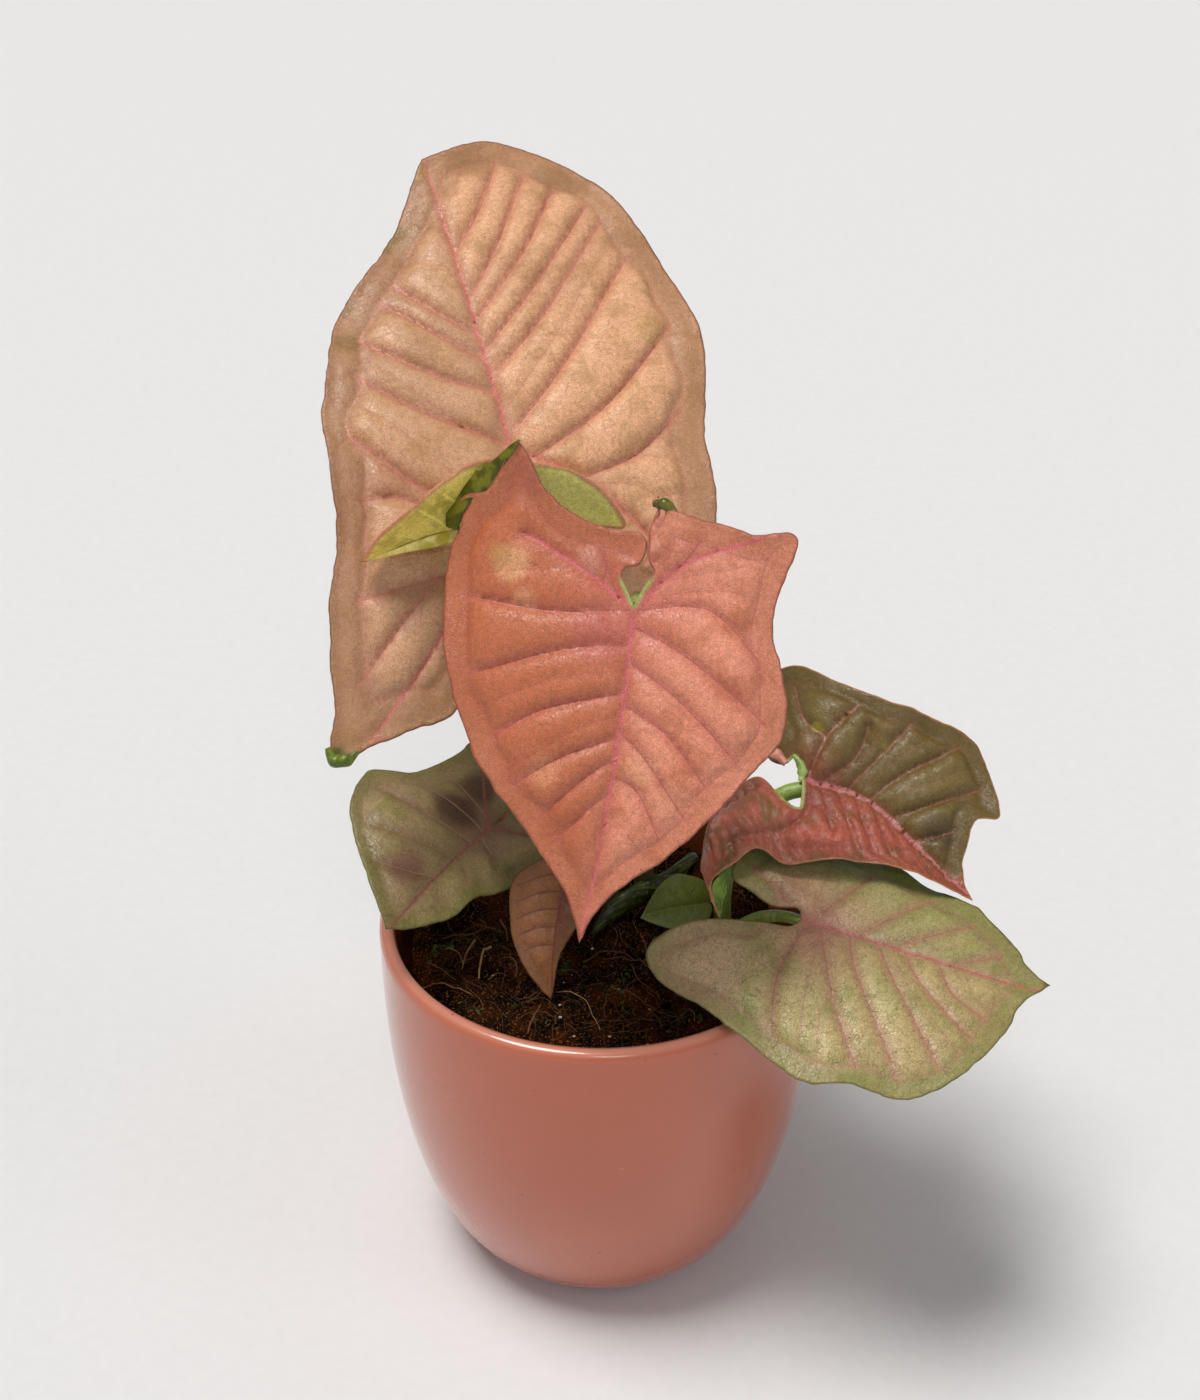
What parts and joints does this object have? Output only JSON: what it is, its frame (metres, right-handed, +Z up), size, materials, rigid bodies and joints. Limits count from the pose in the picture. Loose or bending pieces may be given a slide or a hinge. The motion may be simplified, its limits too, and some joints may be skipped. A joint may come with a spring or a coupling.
{
  "type": "potted arrowhead plant",
  "caption": "Pink arrowhead plant: broad arrow-shaped blades on slender stalks, growing from dark soil in a round-bellied glazed pot.",
  "frame": {"origin": "middle of the pot's flat foot, on the surface that the pot stands on", "axes": "+Z up; -Y towards the side seen first, where the salmon leaf hangs forward; +X to its right"},
  "size_m": [0.1968, 0.1988, 0.3048],
  "materials": {
    "glaze": "glossy dusty-rose glaze",
    "soil": "rough dark peat mix with fibres",
    "leaf_tan": "satin leaf, tan pink",
    "leaf_salmon": "satin leaf, salmon pink",
    "leaf_yellow_green": "glossy young leaf, yellow green",
    "leaf_rose_olive": "satin leaf, olive brown and rose",
    "leaf_olive": "satin leaf, olive with rose veins",
    "leaf_grey_green": "satin leaf, grey green",
    "leaf_brown": "satin leaf, brown pink",
    "stalk": "smooth light green stalk",
    "shoot": "smooth young green leaf"
  },
  "bodies": {
    "root": {"pot": "glaze", "soil": "soil", "leaf_back": "leaf_tan", "leaf_front": "leaf_salmon", "leaf_young": "leaf_yellow_green", "leaf_right_upper": "leaf_rose_olive", "leaf_right_lower": "leaf_olive", "leaf_left": "leaf_grey_green", "leaf_small": "leaf_brown", "shoot_bright": "shoot", "shoot_dark": "shoot", "stalk_back": "stalk", "stalk_front": "stalk", "stalk_young": "stalk", "stalk_right_upper": "stalk", "stalk_right_lower": "stalk", "stalk_left": "stalk", "stalk_small": "stalk", "stalk_bright": "stalk"}
  },
  "joints": []
}
